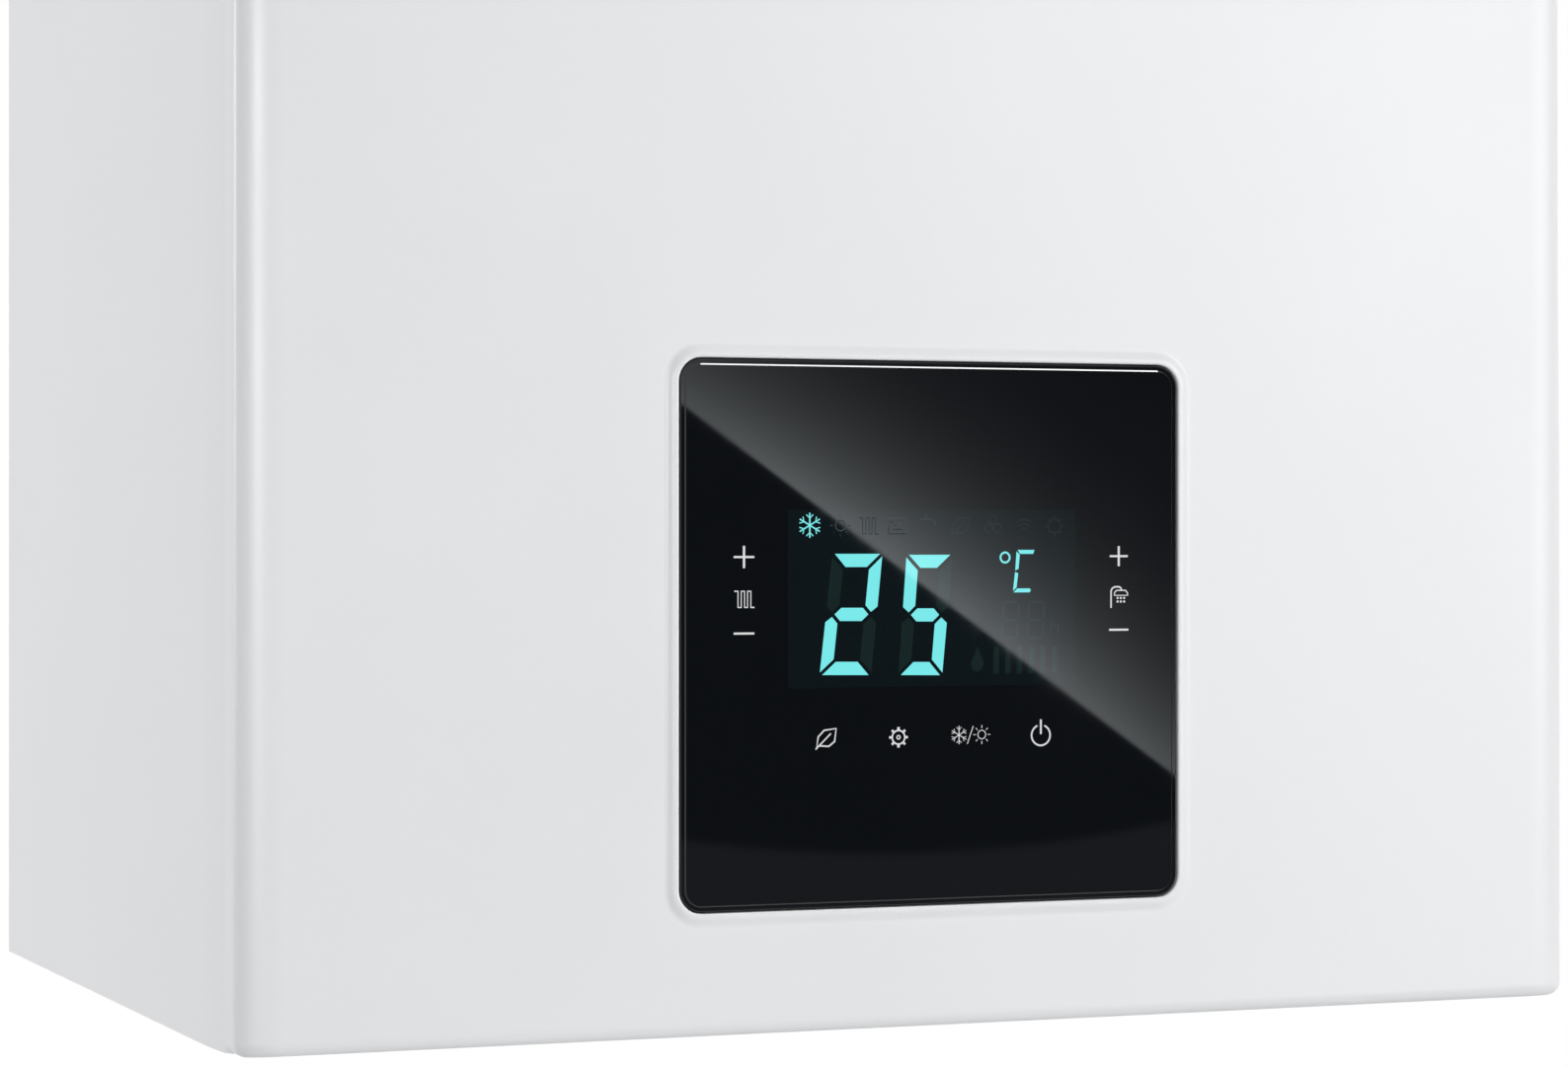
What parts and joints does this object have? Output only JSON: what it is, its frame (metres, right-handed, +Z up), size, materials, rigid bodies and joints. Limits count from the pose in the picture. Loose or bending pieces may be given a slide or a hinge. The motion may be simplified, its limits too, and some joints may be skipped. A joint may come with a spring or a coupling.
{
  "type": "wall-mounted gas boiler",
  "caption": "Wall-hung gas boiler in a white sheet steel casing, with a pull-off front cover, a square black touch-glass control panel, a coaxial flue collar and pipe ports underneath.",
  "frame": {"origin": "on the wall plane, at the middle of the wall bracket's back face", "axes": "+Z up, +Y into the wall, +X to the right seen from the front"},
  "size_m": [0.4, 0.303, 0.748],
  "materials": {
    "white_paint": "fine satin powder coat",
    "galvanised": "galvanised",
    "aluminised_steel": "aluminised",
    "zinc": "zinc plated",
    "copper": "bare copper",
    "brass": "bare brass",
    "stainless": "bare stainless",
    "cast_aluminium": "cast",
    "fibre": "fibre board",
    "ceramic": "glazed",
    "black_plastic": "satin",
    "grey_plastic": "matt",
    "white_plastic": "satin",
    "red_plastic": "gloss",
    "blue_plastic": "gloss",
    "red_paint": "satin",
    "pump_paint": "satin",
    "seal_rubber": "foam rubber",
    "circuit_board": "solder mask",
    "clear_glass": "clear",
    "black_glass": "polished glass, black behind"
  },
  "bodies": {
    "casing": {"wall_bracket": "galvanised", "rear_frame": "galvanised", "left_side_panel": "white_paint", "right_side_panel": "white_paint", "top_panel": "white_paint", "bottom_tray": "white_paint", "cover_screw_left": "zinc", "cover_screw_right": "zinc", "sealed_chamber": "aluminised_steel", "chamber_lid_seal": "seal_rubber", "sealed_chamber_lid": "aluminised_steel", "sight_glass": "clear_glass", "burner_bars": "stainless", "gas_manifold": "brass", "combustion_chamber": "aluminised_steel", "chamber_insulation": "fibre", "ignition_electrode": "ceramic", "flame_sensing_electrode": "ceramic", "heat_exchanger": "copper", "overheat_thermostat": "black_plastic", "flue_hood": "aluminised_steel", "fan_housing": "aluminised_steel", "fan_motor": "cast_aluminium", "flue_duct": "cast_aluminium", "air_intake_collar": "cast_aluminium", "air_pressure_switch": "white_plastic", "expansion_vessel": "red_paint", "vessel_pipe": "copper", "flow_block": "brass", "diverter_motor": "white_plastic", "return_block": "brass", "plate_heat_exchanger": "stainless", "flow_connection": "brass", "hot_water_connection": "brass", "cold_water_connection": "brass", "return_connection": "brass", "pump_housing": "cast_aluminium", "pump_motor": "pump_paint", "heating_flow_pipe": "copper", "heating_return_pipe": "copper", "gas_inlet_pipe": "brass", "gas_valve": "cast_aluminium", "gas_feed_pipe": "copper", "safety_valve": "brass", "pressure_gauge": "black_plastic", "gauge_lens": "clear_glass"},
    "cover": {"front_cover": "white_paint"},
    "control_panel": {"control_box": "black_plastic", "control_box_rear_cover": "grey_plastic", "main_board": "circuit_board", "display_module": "black_plastic", "touch_glass": "black_glass"},
    "fan_rotor": {"fan_impeller": "stainless"},
    "pump_rotor": {"pump_impeller": "black_plastic"},
    "diverter": {"diverter_spindle": "stainless"},
    "safety_knob": {"safety_valve_knob": "red_plastic"},
    "filling_knob": {"filling_valve_knob": "blue_plastic"},
    "vent_cap": {"air_vent_cap": "black_plastic"},
    "needle": {"gauge_pointer": "red_plastic"}
  },
  "joints": [
    {"name": "cover_slide", "type": "slide", "parent": "casing", "child": "cover", "axis": [0, -1, 0], "range_m": [0, 0.4]},
    {"name": "control_tilt", "type": "hinge", "parent": "casing", "child": "control_panel", "pos_m": [0, -0.296, -0.6205], "axis": [1, 0, 0], "range_deg": [0, 60]},
    {"name": "fan_spin", "type": "hinge", "parent": "casing", "child": "fan_rotor", "pos_m": [-0.036, -0.175, -0.05], "axis": [0, -1, 0], "continuous": true},
    {"name": "pump_spin", "type": "hinge", "parent": "casing", "child": "pump_rotor", "pos_m": [0.112, -0.13, -0.5141], "axis": [0, -1, 0], "continuous": true},
    {"name": "diverter_slide", "type": "slide", "parent": "casing", "child": "diverter", "axis": [0, 0, -1], "range_m": [0, 0.006]},
    {"name": "safety_knob_turn", "type": "hinge", "parent": "casing", "child": "safety_knob", "pos_m": [0.14, -0.16, -0.5881], "axis": [0, -1, 0], "range_deg": [0, 90]},
    {"name": "filling_knob_turn", "type": "hinge", "parent": "casing", "child": "filling_knob", "pos_m": [0.0975, -0.105, -0.65], "axis": [0, 0, 1], "range_deg": [0, 90]},
    {"name": "vent_cap_turn", "type": "hinge", "parent": "casing", "child": "vent_cap", "pos_m": [0.082, -0.105, -0.44], "axis": [0, 0, 1], "range_deg": [0, 180]},
    {"name": "needle_turn", "type": "hinge", "parent": "casing", "child": "needle", "pos_m": [-0.0975, -0.2, -0.636], "axis": [0, 0, -1], "range_deg": [-90, 135]}
  ],
  "couplings": [
    {"joint": "control_tilt", "follows": "cover_slide", "rad_per_m": 2.618}
  ]
}
